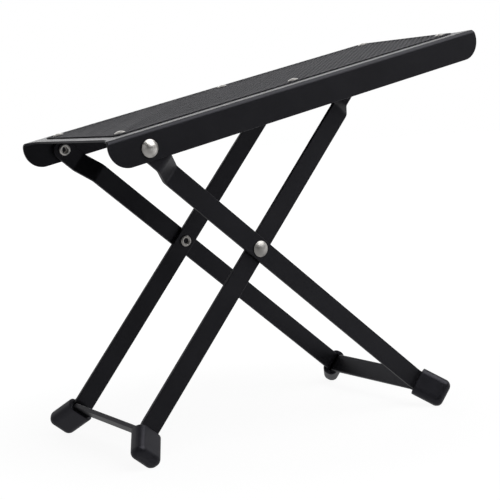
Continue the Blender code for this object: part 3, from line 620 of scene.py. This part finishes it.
def bent_bar(top_face, leg_face, jog_start, jog_run, length):
    """A U frame of flat bar in its own plane: legs from X = 0, foot bar at X = length."""
    bar = settings("frames")
    half = bar.bar / 2
    top_y, leg_y = top_face - half, leg_face - half
    arm = bar.ear_gap / 2 + half
    pull = bar.ear_bend * tan(bar.ear_turn / 2)
    ear_run = bar.ear_length - (bar.ear_gap / 2 + bar.bar) + arm - pull
    step = top_y - leg_y
    lean = abs(step) - 2 * bar.jog_bend
    span = hypot(jog_run, lean)
    turn = (1 if step > 0 else -1) * (atan2(lean, jog_run) + asin(2 * bar.jog_bend / span))
    slope = sqrt(span ** 2 - (2 * bar.jog_bend) ** 2)
    moves = [(bar.width / 2 + jog_start, 0), (bar.jog_bend, turn), (slope, 0), (bar.jog_bend, -turn),
             (length - arm * sqrt(2) - pull - jog_start - jog_run, 0),
             (bar.ear_bend, -bar.ear_turn), (ear_run, 0), (arm, pi), (ear_run, 0),
             (bar.ear_bend, -bar.ear_turn), (leg_y - arm * sqrt(2) - pull, 0)]
    bm, edge = start_strip(-bar.width / 2, -top_y, bar.bar)
    heading = 0.0
    for way, bend in moves:
        if bend:
            edge, heading = strip_bend(bm, edge, heading, way, bend)
        else:
            edge = strip_run(bm, edge, heading, way)
    bmesh.ops.mirror(bm, geom=bm.verts[:] + bm.edges[:] + bm.faces[:], matrix=Matrix.Identity(4),
                     merge_dist=MERGE, axis='Y')
    bmesh.ops.remove_doubles(bm, verts=bm.verts, dist=MERGE)
    thicken(bm, bar.width)
    tops = along(bm, 1, lambda edge: abs(edge.verts[0].co.x + bar.width / 2) < MERGE)
    round_edges(bm, tops, bar.width / 2 - bar.edge, STEPS["bar_end"])
    return bm


def faces_of_frames():
    """Outer faces of the legs, from the middle plane: wide top, wide leg, narrow leg, narrow top."""
    plate, bar = settings("plate"), settings("frames")
    wide_top = PLATE_WIDTH / 2 - plate.sheet - SEAT_GAP
    wide_leg = wide_top - bar.wide_jog
    narrow_leg = wide_leg - bar.bar - SEAT_GAP
    return wide_top, wide_leg, narrow_leg, narrow_leg - bar.narrow_jog


def rivet_row():
    """The rivets' row to the plate's middle."""
    return PLATE_WIDTH / 2 - settings("rivets").from_side


def rivet_places():
    """Places of the mat's rivets in the plate's axes, as (x, y, number along the row)."""
    plate, rivets = settings("plate"), settings("rivets")
    pitch = (plate.length - rivets.first - rivets.last) / (ROW_RIVETS - 1)
    for side in SIDES.values():
        for i in range(ROW_RIVETS):
            yield rivets.first - plate.low_end + i * pitch, side * rivet_row(), i


def boot_half():
    """Half the boot's thickness, half its width and its length."""
    bar, boots = settings("frames"), settings("boots")
    return (bar.ear_gap / 2 + bar.bar + SEAT_GAP + boots.side_wall, bar.width / 2 + SEAT_GAP + boots.wall,
            bar.ear_length + SEAT_GAP + boots.end_wall)


def boot_drop(leg_angle):
    """How far a boot reaches below its frame's corner."""
    thick, wide, length = boot_half()
    side, end = settings("boots").side_edge, settings("boots").end_edge
    slope, lean = sin(leg_angle) / sqrt(2), cos(leg_angle)
    corner = (length - end + thick - side) * slope + (wide - side) * lean
    return corner + (side - end) * hypot(slope, lean) + end


def wide_length():
    """Pivot to the wide frame's foot bar."""
    return PIVOT_TO_CROSSING + settings("frames").wide_foot


def narrow_length():
    """Rod to the narrow frame's foot bar: both frames' boots stand on one floor."""
    floor_drop = settings("frames").wide_foot * sin(WIDE_LEG_ANGLE) + boot_drop(WIDE_LEG_ANGLE)
    return CROSSING_TO_ROD + (floor_drop - boot_drop(NARROW_LEG_ANGLE)) / sin(NARROW_LEG_ANGLE)


class FOOTREST_OT_plate(Operator):
    """Press the foot plate: a channel with round flange ends"""
    bl_idname = "footrest.plate"
    bl_label = "Foot Plate"

    def execute(self, context):
        plate = settings("plate")
        low, high = -plate.low_end, plate.length - plate.low_end
        half, under = PLATE_WIDTH / 2, plate.top - plate.depth
        inner = half - plate.sheet

        def at_top(edge):
            return all(abs(vert.co.z - plate.top) < MERGE for vert in edge.verts)

        bm = self.outline(low, high, half + OVERRUN, under)
        round_edges(bm, along(bm, 1, at_top), plate.tip_radius, STEPS["tip"])
        section = block((low - OVERRUN, -half, under - OVERRUN), (high + OVERRUN, half, plate.top))
        round_edges(section, along(section, 0, at_top), plate.bend_radius, STEPS["bend"])
        bm = combine(bm, section, 'INTERSECT')
        channel = block((low - OVERRUN, -inner, under - OVERRUN),
                        (high + OVERRUN, inner, plate.top - plate.sheet))
        round_edges(channel, along(channel, 0, lambda edge: edge.verts[0].co.z > 0),
                    plate.bend_radius - plate.sheet, STEPS["inner_bend"])
        bm = combine(bm, channel)
        reach = plate.end_fillet + OVERRUN
        for start, end in ((low - reach, low + plate.set_back), (high - plate.set_back, high + reach)):
            tool = block((start, -inner, under - OVERRUN), (end, inner, plate.top + OVERRUN))
            inside = along(tool, 2, lambda edge: low < edge.verts[0].co.x < high)
            round_edges(tool, inside, plate.end_fillet, STEPS["fillet"])
            bm = combine(bm, tool)
        piece = finish_piece("foot_plate", bm, PLATE_PLACE, "platform",
                             powder_coat("plate_coat"), "deck_plate")
        soften(piece, plate.edge, STEPS["soft_edge"], SOFT_PRESSED)
        return {'FINISHED'}

    def outline(self, low, high, half, under):
        """The plate's side outline, with round ends and a flat top, over its width."""
        plate = settings("plate")
        bm = bmesh.new()
        for x in (low + plate.end_radius, high - plate.end_radius):
            for side in SIDES.values():
                place = (Matrix.Translation((x, side * half, under + plate.end_radius))
                         @ Matrix.Rotation(radians(90), 4, 'X'))
                bmesh.ops.create_circle(bm, segments=FLANGE_SIDES, radius=plate.end_radius, matrix=place)
        hull = bmesh.ops.convex_hull(bm, input=bm.verts[:])
        spare = set(verts_of(hull["geom_interior"] + hull["geom_unused"]))
        bmesh.ops.delete(bm, geom=list(spare), context='VERTS')
        rim = cut(bm, (0, 0, plate.top), (0, 0, 1), clear=True)
        bmesh.ops.edgeloop_fill(bm, edges=rim)
        bmesh.ops.dissolve_limit(bm, angle_limit=FLAT_ANGLE, verts=bm.verts, edges=bm.edges)
        bmesh.ops.recalc_face_normals(bm, faces=bm.faces)
        return bm


class FOOTREST_OT_mat(Operator):
    """Mould the rubber mat with its diagonal ribs"""
    bl_idname = "footrest.mat"
    bl_label = "Ribbed Mat"

    def execute(self, context):
        plate, mat = settings("plate"), settings("mat")
        xs = [x for x, _, _ in rivet_places()]
        length, half = max(xs) - min(xs) + 2 * mat.past_rivets, rivet_row() + mat.past_rivets
        under = plate.top + mat.lift
        crest = under + mat.thickness
        middle = Vector(((min(xs) + max(xs)) / 2, 0, 0))
        straight = Vector((length / 2 - mat.corner, half - mat.corner))
        turn = Matrix.Rotation(mat.rib_angle - pi / 2, 3, 'Z')
        bm = self.rib_columns(hypot(length, 2 * half), turn, middle)
        rounding = [mat.edge * (1 - cos(radians(angle))) for angle in EDGE_ANGLES]
        for inset in (0, *rounding, mat.border, mat.border + mat.rib_end):
            self.cut_outline(bm, middle, straight, mat.corner - inset, inset == 0)
        self.cut_round_rivets(bm)
        for vert in bm.verts:
            across = (turn.inverted() @ (vert.co - middle)).x
            past = (max(abs(vert.co.x - middle.x) - straight.x, 0), max(abs(vert.co.y) - straight.y, 0))
            vert.co.z = crest - self.drop(across, mat.corner - hypot(*past))
        self.close_below(bm, under)
        bm = combine(bm, self.seats(crest))
        across = (PLATE_PLACE.to_3x3() @ turn).col[0]
        rubber = mat_rubber("mat_rubber", across, across.dot(PLATE_PLACE @ middle))
        finish_piece("ribbed_mat", bm, PLATE_PLACE, "platform", rubber, "tread_mat", SHARP_MAT)
        return {'FINISHED'}

    def rib_columns(self, reach, turn, middle):
        """A flat sheet in narrow columns along the ribs, wide enough for the whole mat."""
        mat = settings("mat")
        ribs = ceil(reach / mat.rib_pitch)
        bm = bmesh.new()
        bmesh.ops.create_grid(bm, x_segments=ribs * STEPS["rib"], y_segments=1, size=0.5)
        bmesh.ops.scale(bm, vec=(ribs * mat.rib_pitch, reach, 1), verts=bm.verts)
        bmesh.ops.rotate(bm, matrix=turn, verts=bm.verts)
        move(bm, middle)
        return bm

    def cut_outline(self, bm, middle, straight, radius, clear):
        """Cut the mat along an outline with round corners."""
        steps = STEPS["mat_corner"]
        for x_side in (-1, 1):
            for y_side in (-1, 1):
                corner = middle + Vector((x_side * straight.x, y_side * straight.y, 0))
                for i in range(steps + 1):
                    angle = pi / 2 * i / steps
                    out = Vector((x_side * cos(angle), y_side * sin(angle), 0))
                    cut(bm, corner + out * radius, out, clear)

    def cut_round_rivets(self, bm):
        """Cut the columns beside the rivets, so that the seats don't disturb their shading."""
        clear = settings("rivets").mat_radius + OVERRUN
        for x, y, _ in rivet_places():
            for side in (-1, 1):
                cut(bm, (x + side * clear, 0, 0), (1, 0, 0))
                cut(bm, (0, y + side * clear, 0), (0, 1, 0))

    def drop(self, across, inside):
        """How far the mat lies below its ribs' crests, from the way across them and in from its edge."""
        mat = settings("mat")
        valley = (1 + cos(2 * pi * across / mat.rib_pitch)) / 2
        ribbed = min(max((inside - mat.border) / mat.rib_end, 0), 1)
        rounded = max(mat.edge - inside, 0)
        edge = mat.edge - sqrt(max(mat.edge ** 2 - rounded ** 2, 0))
        return edge + mat.rib_height * valley ** VALLEY_POWER * ribbed

    def close_below(self, bm, under):
        """Give the mat its side and its flat underside."""
        rim = [edge for edge in bm.edges if edge.is_boundary]
        grown = bmesh.ops.extrude_edge_only(bm, edges=rim)["geom"]
        lowered = set(verts_of(grown))
        for vert in lowered:
            vert.co.z = under
        rim = [edge for edge in edges_of(grown) if lowered.issuperset(edge.verts)]
        bmesh.ops.edgeloop_fill(bm, edges=rim)
        bmesh.ops.recalc_face_normals(bm, faces=bm.faces)

    def seats(self, crest):
        """The shapes of the rivets' round seats."""
        radius, floor = settings("rivets").mat_radius + SEAT_GAP, crest - settings("mat").dimple
        seats = bmesh.new()
        for x, y, _ in rivet_places():
            seat = turned([(0, crest + OVERRUN), (radius, crest + OVERRUN), (radius, floor), (0, floor)],
                          SMALL_SIDES)
            move(seat, (x, y, 0))
            join(seats, seat)
        return seats


class FOOTREST_OT_mat_rivets(Operator):
    """Set the six small rivets of the mat and the rails"""
    bl_idname = "footrest.mat_rivets"
    bl_label = "Mat Rivets"

    def execute(self, context):
        plate, mat, rivets = settings("plate"), settings("mat"), settings("rivets")
        seat = plate.top + mat.lift + mat.thickness - mat.dimple + SEAT_GAP
        rail_top = plate.top - plate.sheet - SEAT_GAP
        rail_under = rail_top - settings("rails").sheet
        head = [(radius, seat + height) for radius, height
                in dome(rivets.mat_radius, rivets.mat_height, rivets.mat_rim, STEPS["small_dome"])]
        shank, tail, end = rivets.mat_shank, rivets.mat_tail, rail_top - rivets.tail_height
        body = [*head, (shank, seat), (shank, rail_top)]
        flush = [(tail, rail_under + rivets.flush_edge), (tail - rivets.flush_edge, rail_under),
                 (0, rail_under)]
        flanged = [(tail, rail_top), (tail, end + rivets.tail_edge), (tail - rivets.tail_edge, end),
                   (0, end)]
        for number, (x, y, i) in enumerate(rivet_places(), 1):
            bm = turned(body + (flanged if i == 0 else flush), SMALL_SIDES)
            move(bm, (x, y, 0))
            # The small rivets' nickel is painted darker, as painted shade
            nickel = plated(f"small_rivet_{number}", rivets.nickel, "small")
            finish_piece(f"small_rivet_{number}", bm, PLATE_PLACE, "platform", nickel,
                         f"mat_rivet_{number}")
        return {'FINISHED'}


class FOOTREST_OT_rails(Operator):
    """Fold the two notched rails under the plate"""
    bl_idname = "footrest.rails"
    bl_label = "Notched Rails"

    def execute(self, context):
        plate, rails, bar = settings("plate"), settings("rails"), settings("frames")
        xs = [x for x, _, i in rivet_places() if i > 0]
        low, high = min(xs) - rails.end_margin, max(xs) + rails.end_margin
        top = plate.top - plate.sheet - SEAT_GAP
        half = rails.sheet / 2
        web_face = faces_of_frames()[3] - bar.bar - rails.clearance
        outside, strip_z = rivet_row() + rails.margin, top - half
        tip = rails.groove + SEAT_GAP
        stop = tip - rails.stop_depth
        radius = rails.rod + SEAT_GAP
        reach = sqrt(radius ** 2 - tip ** 2)
        web_low = PIVOT_TO_ROD - reach - rails.stop_length
        web_high = PIVOT_TO_ROD + (rails.notches - 1) * rails.notch_pitch + reach + rails.web_margin
        below, clear = stop - OVERRUN, top - rails.sheet - rails.bend / 2
        for label, side in SIDES.items():
            bm, edge = start_strip(0, 0, rails.sheet)
            edge = strip_run(bm, edge, 0, outside - (web_face - half) - rails.bend)
            edge, heading = strip_bend(bm, edge, 0, rails.bend, pi / 2)
            strip_run(bm, edge, heading, strip_z - rails.bend - stop)
            thicken(bm, high - low)
            lay = Matrix(((0, 0, 1, (low + high) / 2), (-side, 0, 0, side * outside), (0, -1, 0, strip_z),
                          (0, 0, 0, 1)))
            bmesh.ops.transform(bm, matrix=lay, verts=bm.verts)
            bmesh.ops.recalc_face_normals(bm, faces=bm.faces)
            near, far = sorted((side * (web_face + OVERRUN), side * (web_face - rails.sheet - OVERRUN)))
            ends = block((low - OVERRUN, near, below), (web_low, far, clear))
            join(ends, block((web_high, near, below), (high + OVERRUN, far, clear)))
            bm = combine(bm, ends)
            bm = combine(bm, block((PIVOT_TO_ROD - reach, near, below), (web_high + OVERRUN, far, tip)))
            for i in range(rails.notches):
                notch = turned([(0, near), (radius, near), (radius, far), (0, far)], SMALL_SIDES)
                turn_across(notch, 1)
                move(notch, (PIVOT_TO_ROD + i * rails.notch_pitch, 0, 0))
                bm = combine(bm, notch)
            piece = finish_piece(f"notched_rail_{label}", bm, PLATE_PLACE, "platform",
                                 powder_coat(f"rail_coat_{label}"), f"rail_{label}")
            soften(piece, rails.edge, STEPS["thin_edge"], SOFT_PRESSED)
        return {'FINISHED'}


class FOOTREST_OT_frames(Operator):
    """Bend the two U frames of flat bar"""
    bl_idname = "footrest.frames"
    bl_label = "U Frames"

    def execute(self, context):
        bar = settings("frames")
        wide_top, wide_leg, narrow_leg, narrow_top = faces_of_frames()
        wide = bent_bar(wide_top, wide_leg, bar.wide_start, bar.wide_run, wide_length())
        self.finish_frame("wide_frame", wide, WIDE_PLACE, "base", "pivot_frame")
        narrow = bent_bar(narrow_top, narrow_leg, bar.narrow_start, bar.narrow_run, narrow_length())
        self.finish_frame("narrow_frame", narrow, NARROW_PLACE, "prop", "prop_frame")
        return {'FINISHED'}

    def finish_frame(self, name, bm, place, body, node):
        """Coat a frame and soften its edges."""
        piece = finish_piece(name, bm, place, body, powder_coat(f"{name}_coat"), node,
                             SHARP_BAR)
        soften(piece, settings("frames").edge, STEPS["soft_edge"], SOFT_BAR)


class FOOTREST_OT_boots(Operator):
    """Mould the four rubber boots"""
    bl_idname = "footrest.boots"
    bl_label = "Rubber Boots"

    def execute(self, context):
        _, wide_leg, narrow_leg, _ = faces_of_frames()
        self.boot_row("pivot", "base", WIDE_PLACE, wide_leg, wide_length())
        self.boot_row("prop", "prop", NARROW_PLACE, narrow_leg, narrow_length())
        return {'FINISHED'}

    def boot_row(self, kind, body, place, face, length):
        """The near and far boots of one frame."""
        bar = settings("frames")
        for label, side in SIDES.items():
            bm = self.boot()
            seat = (Matrix.Translation((length, side * (face - bar.bar / 2), 0))
                    @ Matrix.Rotation(bar.ear_turn * side, 4, 'Z'))
            bmesh.ops.transform(bm, matrix=place @ seat, verts=bm.verts)
            rim = cut(bm, (0, 0, 0), (0, 0, -1), clear=True)
            bmesh.ops.edgeloop_fill(bm, edges=rim)
            piece = finish_piece(f"{kind}_boot_{label}", bm, Matrix.Identity(4), body,
                                 boot_rubber(f"{kind}_boot_{label}"), f"{kind}_foot_{label}")
            even_shading(piece)

    def boot(self):
        """A boot along X with a socket for the ear. Its mouth lies just behind zero."""
        bar, boots = settings("frames"), settings("boots")
        thick, wide, reach = boot_half()
        bm = block((-boots.set_back, -thick, -wide), (reach, thick, wide))
        round_edges(bm, along(bm, 0), boots.side_edge, STEPS["boot_side"])
        closed_end = max(bm.faces, key=lambda face: face.calc_center_median().x)
        round_edges(bm, list(closed_end.edges), boots.end_edge, STEPS["boot_end"])
        mouth = min(bm.faces, key=lambda face: face.calc_center_median().x)
        round_edges(bm, list(mouth.edges), boots.rim, STEPS["boot_rim"])
        mouth = min(bm.faces, key=lambda face: (round(face.calc_center_median().x, DECIMALS),
                                                -face.calc_area()))
        bmesh.ops.inset_region(bm, faces=[mouth], thickness=boots.side_wall - boots.rim,
                               use_even_offset=True)
        narrow = (bar.width / 2 + SEAT_GAP) / (wide - boots.side_wall)
        bmesh.ops.scale(bm, vec=(1, 1, narrow), verts=mouth.verts)
        socket = bmesh.ops.extrude_face_region(bm, geom=[mouth])["geom"]
        move(bm, (bar.ear_length + SEAT_GAP + boots.set_back, 0, 0), verts_of(socket))
        if mouth.is_valid:
            bmesh.ops.delete(bm, geom=[mouth], context='FACES_ONLY')
        return bm


class FOOTREST_OT_pivot_rivets(Operator):
    """Set the four large rivets, domed outside and rolled inside"""
    bl_idname = "footrest.pivot_rivets"
    bl_label = "Pivot Rivets"

    def execute(self, context):
        wide_top, wide_leg, narrow_leg, _ = faces_of_frames()
        self.rivet_pair("top", 0, PLATE_WIDTH / 2 + SEAT_GAP, wide_top)
        self.rivet_pair("crossing", PIVOT_TO_CROSSING, wide_leg + SEAT_GAP, narrow_leg)
        return {'FINISHED'}

    def rivet_pair(self, kind, x, face, last_bar):
        """The near and far rivets of one axis. The last bar that they hold is given by its outer face."""
        rivets = settings("rivets")
        parts = ("head", "height", "tail")
        head, height, tail_height = [getattr(rivets, f"{kind}_{part}") for part in parts]
        shank, tail, bore = rivets.shank, rivets.tail, rivets.bore
        grip = face - last_bar + settings("frames").bar + SEAT_GAP
        end = -grip - tail_height
        roll = (tail - bore) / 2
        hollow = end + rivets.bore_depth
        profile = [*dome(head, height, rivets.rim, STEPS["large_dome"]), (shank, 0), (shank, -grip),
                   (tail, -grip), *rolled_end(roll, tail - roll, end + roll),
                   (bore, hollow - rivets.bore_cone), (0, hollow)]
        for label, side in SIDES.items():
            bm = turned(profile, ROUND_SIDES)
            turn_across(bm, side)
            move(bm, (x, side * face, 0))
            # The top domes' nickel is painted lighter, as painted light; the crossing domes keep its colour
            nickel = plated(f"{kind}_dome_{label}", rivets.nickel, kind)
            finish_piece(f"{kind}_dome_{label}", bm, WIDE_PLACE, "base", nickel,
                         f"{kind}_rivet_{label}")


class FOOTREST_OT_rod(Operator):
    """Turn the rod across the narrow frame"""
    bl_idname = "footrest.rod"
    bl_label = "Cross Rod"

    def execute(self, context):
        rails, bar = settings("rails"), settings("frames")
        rod, groove, chamfer = rails.rod, rails.groove, rails.chamfer
        narrow_top = faces_of_frames()[3]
        web_face = narrow_top - bar.bar - rails.clearance
        inside, outside = narrow_top - bar.bar - SEAT_GAP, narrow_top + SEAT_GAP
        groove_low, groove_high = web_face - rails.sheet - SEAT_GAP, web_face + SEAT_GAP
        head = [(radius, outside + height) for radius, height
                in reversed(dome(rod, rails.rod_head, rails.rod_rim, STEPS["small_dome"]))]
        upper = [(rod, groove_low - chamfer), (rod - chamfer, groove_low), (groove, groove_low),
                 (groove, groove_high), (rod - chamfer, groove_high), (rod, groove_high + chamfer),
                 (rod, inside - chamfer), (rod - chamfer, inside), (rails.rod_end, inside),
                 (rails.rod_end, outside)]
        lower = [(radius, -height) for radius, height in reversed(upper + head)]
        bm = turned(lower + upper + head, ROUND_SIDES)
        turn_across(bm, 1)
        finish_piece("turned_rod", bm, NARROW_PLACE, "prop",
                     plated("rod_zinc", rails.zinc, "rod", ROD_STRETCH), "cross_rod")
        return {'FINISHED'}


class FOOTREST_OT_stage(Operator):
    """Set up the floor, the light and the camera"""
    bl_idname = "footrest.stage"
    bl_label = "Stage"

    def execute(self, context):
        scene, stage = context.scene, settings("stage")
        scene.view_settings.view_transform = 'Standard'
        self.floor(stage)
        self.world(scene, stage)
        for name, (place, width, height, power) in LAMPS.items():
            self.lamp(name, place, width, height, power * stage.lamp)
        data = bpy.data.cameras.new("camera")
        data.lens = stage.lens
        data.sensor_width = SENSOR_WIDTH
        data.dof.use_dof = False
        camera = add_object("camera", data)
        turn = Euler(stage.aim, 'XYZ').to_matrix().to_4x4()
        camera.matrix_world = PLATE_PLACE @ Matrix.Translation(stage.eye) @ turn
        scene.camera = camera
        return {'FINISHED'}

    def floor(self, stage):
        """A pale floor that keeps a soft shadow and looks white behind the footrest."""
        bm = bmesh.new()
        bmesh.ops.create_grid(bm, x_segments=2, y_segments=2, size=FLOOR_REACH)
        mesh = mesh_of("floor", bm)
        floor = add_object("floor", mesh)
        made, tree, shader, place = new_finish("floor", 0.0, SHEEN["floor"])
        add_grain(tree, shader, place, stage.floor, **FLOOR_GRAIN)
        rays = add_node(tree, "ShaderNodeLightPath").outputs
        from_middle = add_node(tree, "ShaderNodeVectorMath", {0: place}, operation='LENGTH').outputs["Value"]
        fading = grade(tree, from_middle, (stage.shadow_near, stage.shadow_far), (1 - stage.shadow, 1))
        white = add_node(tree, "ShaderNodeEmission", {"Color": WHITE, "Strength": stage.white})
        seen = multiply(tree, rays["Is Camera Ray"], fading)
        view = blend(tree, seen, shader.outputs["BSDF"], white.outputs["Emission"])
        axes = add_node(tree, "ShaderNodeSeparateXYZ", {"Vector": place}).outputs
        sideways = grade(tree, axes["X"], GLOW_ACROSS, (stage.glow_left, stage.glow_right))
        deep = grade(tree, axes["Y"], GLOW_DEEP, (stage.glow_front, 1))
        glow = multiply(tree, sideways, deep)
        mirrored = add_node(tree, "ShaderNodeEmission", {"Color": WHITE, "Strength": glow})
        surface = blend(tree, rays["Is Glossy Ray"], view, mirrored.outputs["Emission"])
        tree.links.new(surface, tree.nodes["Material Output"].inputs["Surface"])
        mesh.materials.append(made)

    def world(self, scene, stage):
        """White behind the footrest, faint light from all sides and a pale wall in reflections."""
        world = bpy.data.worlds.new("studio")
        world.use_nodes = True
        scene.world = world
        tree = world.node_tree
        light = tree.nodes["Background"]
        light.inputs["Color"].default_value = WHITE
        light.inputs["Strength"].default_value = stage.ambient
        rays = add_node(tree, "ShaderNodeLightPath").outputs
        way = add_node(tree, "ShaderNodeTexCoord").outputs["Object"]
        depth = add_node(tree, "ShaderNodeSeparateXYZ", {"Vector": way}).outputs["Y"]
        behind = grade(tree, depth, WALL_RISE, (stage.ambient, stage.wall))
        wall = add_node(tree, "ShaderNodeBackground", {"Color": WHITE, "Strength": behind})
        mirrored = blend(tree, rays["Is Glossy Ray"], light.outputs["Background"],
                         wall.outputs["Background"])
        white = add_node(tree, "ShaderNodeBackground", {"Color": WHITE, "Strength": 1.0})
        surface = blend(tree, rays["Is Camera Ray"], mirrored, white.outputs["Background"])
        tree.links.new(surface, tree.nodes["World Output"].inputs["Surface"])

    def lamp(self, name, place, width, height, power):
        """A soft lamp aimed at the footrest."""
        data = bpy.data.lights.new(name, 'AREA')
        data.shape = 'RECTANGLE'
        data.size, data.size_y = width, height
        data.energy = power
        lamp = add_object(name, data)
        lamp.visible_camera = False
        lamp.location = place
        lamp.rotation_euler = (LAMP_AIM - Vector(place)).to_track_quat('-Z', 'Y').to_euler()


GROUPS = {
    "plate": FOOTREST_PG_plate,
    "mat": FOOTREST_PG_mat,
    "rivets": FOOTREST_PG_rivets,
    "frames": FOOTREST_PG_frames,
    "boots": FOOTREST_PG_boots,
    "rails": FOOTREST_PG_rails,
    "stage": FOOTREST_PG_stage,
}
OPERATORS = (FOOTREST_OT_plate, FOOTREST_OT_mat, FOOTREST_OT_mat_rivets, FOOTREST_OT_rails,
             FOOTREST_OT_frames, FOOTREST_OT_boots, FOOTREST_OT_pivot_rivets, FOOTREST_OT_rod,
             FOOTREST_OT_stage)


class FOOTREST_PT_panel(Panel):
    """Buttons for every piece of the footrest"""
    bl_label = "Footrest"
    bl_idname = "FOOTREST_PT_panel"
    bl_space_type = 'VIEW_3D'
    bl_region_type = 'UI'
    bl_category = "Footrest"

    def draw(self, context):
        for operator in OPERATORS:
            self.layout.operator(operator.bl_idname)


def register():
    """Register the settings, the operators and the panel."""
    for name, group in GROUPS.items():
        bpy.utils.register_class(group)
        setattr(bpy.types.Scene, "footrest_" + name, PointerProperty(type=group))
    for made in (*OPERATORS, FOOTREST_PT_panel):
        bpy.utils.register_class(made)


def unregister():
    """Take all of it away again."""
    for made in (FOOTREST_PT_panel, *reversed(OPERATORS)):
        bpy.utils.unregister_class(made)
    for name, group in GROUPS.items():
        delattr(bpy.types.Scene, "footrest_" + name)
        bpy.utils.unregister_class(group)


def main():
    """Build every piece."""
    register()
    bpy.ops.footrest.plate()
    bpy.ops.footrest.mat()
    bpy.ops.footrest.mat_rivets()
    bpy.ops.footrest.rails()
    bpy.ops.footrest.frames()
    bpy.ops.footrest.boots()
    bpy.ops.footrest.pivot_rivets()
    bpy.ops.footrest.rod()
    bpy.ops.footrest.stage()


if __name__ == "__main__":
    main()
